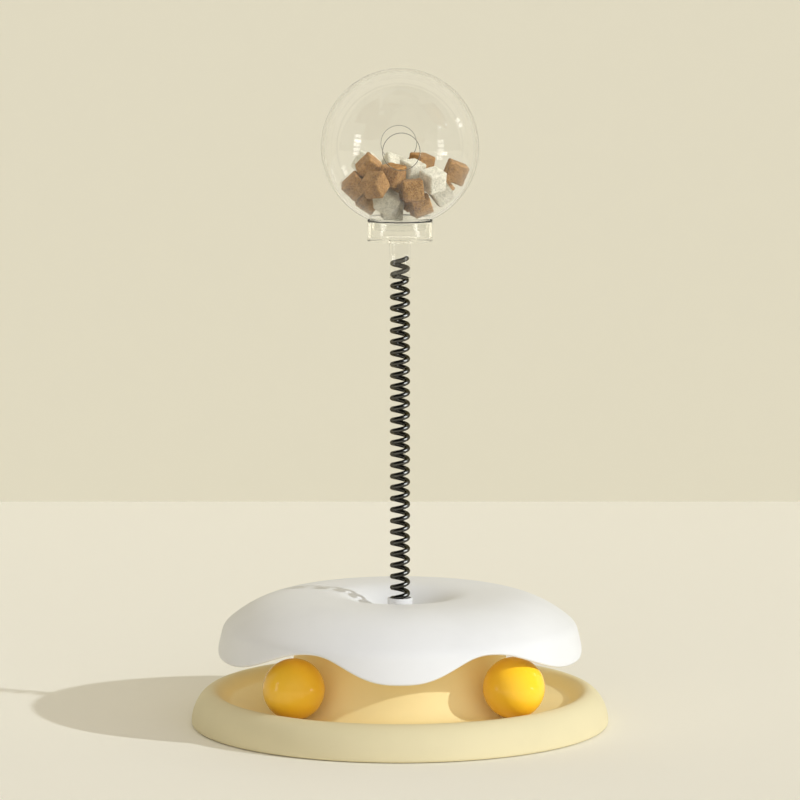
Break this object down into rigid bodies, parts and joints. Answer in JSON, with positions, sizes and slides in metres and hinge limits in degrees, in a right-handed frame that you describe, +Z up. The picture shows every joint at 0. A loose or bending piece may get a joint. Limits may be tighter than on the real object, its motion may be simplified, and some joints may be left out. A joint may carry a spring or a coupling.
{
  "type": "cat treat dispenser toy",
  "caption": "Pet toy with a clear treat globe swaying on a coil spring, over a wavy white cover and a round cream track with rolling balls.",
  "frame": {"origin": "on the floor under the middle of the base, where the spring's axis meets it", "axes": "+Z up along the spring, -Y towards the front with its treat hole, +X to the right"},
  "size_m": [0.249, 0.249, 0.3904],
  "materials": {
    "cream": "satin",
    "white": "satin",
    "orange": "polished",
    "clear": "clear polished",
    "wire": "black, glossy",
    "steel": "zinc plated",
    "seal": "matt",
    "rubber": "matt",
    "brown_treat": "porous dry crumb",
    "white_treat": "porous dry crumb"
  },
  "bodies": {
    "base": {"base_tray": "cream", "foot_1": "rubber", "foot_2": "rubber", "foot_3": "rubber", "foot_4": "rubber", "foot_5": "rubber", "foot_6": "rubber", "cover": "white", "cover_screw_1": "steel", "cover_screw_2": "steel", "cover_screw_3": "steel", "spring_socket": "white"},
    "left_ball": {"left_ball": "orange"},
    "right_ball": {"right_ball": "orange"},
    "spring": {"spring": "wire"},
    "head": {"spring_stem": "clear", "globe_cap": "clear", "cap_seal": "seal", "treat_globe": "clear", "treat_1": "white_treat", "treat_2": "brown_treat", "treat_3": "brown_treat", "treat_4": "white_treat", "treat_5": "white_treat", "treat_6": "brown_treat", "treat_7": "brown_treat", "treat_8": "brown_treat", "treat_9": "white_treat", "treat_10": "brown_treat", "treat_11": "brown_treat", "treat_12": "white_treat", "treat_13": "brown_treat", "treat_14": "white_treat", "treat_15": "brown_treat", "treat_16": "white_treat", "treat_17": "brown_treat", "treat_18": "white_treat", "treat_19": "brown_treat", "treat_20": "white_treat", "treat_21": "white_treat", "treat_22": "brown_treat", "treat_23": "brown_treat", "treat_24": "brown_treat"}
  },
  "joints": [
    {"name": "left_ball_roll", "type": "hinge", "parent": "base", "child": "left_ball", "pos_m": [0, 0, 0.032], "axis": [0, 0, 1], "continuous": true},
    {"name": "right_ball_roll", "type": "hinge", "parent": "left_ball", "child": "right_ball", "pos_m": [0, 0, 0.032], "axis": [0, 0, 1], "range_deg": [-67, 245]},
    {"name": "side_sway", "type": "hinge", "parent": "base", "child": "spring", "pos_m": [0, 0, 0.121], "axis": [0, 1, 0], "range_deg": [-30, 30], "stiffness_Nm_per_rad": 0.6, "deforming": ["spring"]},
    {"name": "fore_sway", "type": "hinge", "parent": "spring", "child": "head", "pos_m": [0, 0, 0.2271], "axis": [1, 0, 0], "range_deg": [-30, 30], "stiffness_Nm_per_rad": 0.6, "deforming": ["spring"]}
  ]
}
